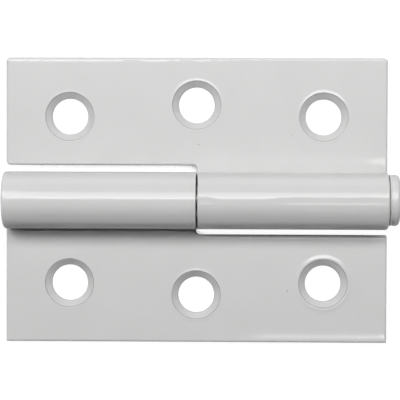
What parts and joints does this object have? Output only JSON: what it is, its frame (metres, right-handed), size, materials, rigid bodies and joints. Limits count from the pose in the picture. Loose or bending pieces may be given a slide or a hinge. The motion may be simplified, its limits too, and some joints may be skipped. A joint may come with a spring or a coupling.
{
  "type": "lift off hinge",
  "caption": "Lift off butt hinge of curled steel leaves on a headed pin, with countersunk screw holes and white paint; the door leaf swings and lifts off along the pin.",
  "frame": {"origin": "middle of the overall length, under the pin, on the plane of the leaves' backs that the hinge lies on", "axes": "+X along the pin towards its head, +Y across the frame leaf, +Z out of the countersunk faces"},
  "size_m": [0.077, 0.056, 0.0111],
  "materials": {
    "white_paint": "semi-gloss white enamel over stamped steel",
    "pin_steel": "drawn steel pin, bare on the shank, head painted with the leaves"
  },
  "bodies": {
    "frame_leaf": {"frame_leaf": "white_paint"},
    "pin": {"hinge_pin": "pin_steel"},
    "door_leaf": {"door_leaf": "white_paint"}
  },
  "joints": [
    {"name": "leaf_swing", "type": "hinge", "parent": "frame_leaf", "child": "pin", "pos_m": [0, 0, 0.00556], "axis": [-1, 0, 0], "range_deg": [-100, 192]},
    {"name": "leaf_lift_off", "type": "slide", "parent": "pin", "child": "door_leaf", "axis": [-1, 0, 0], "range_m": [0, 0.04]}
  ]
}
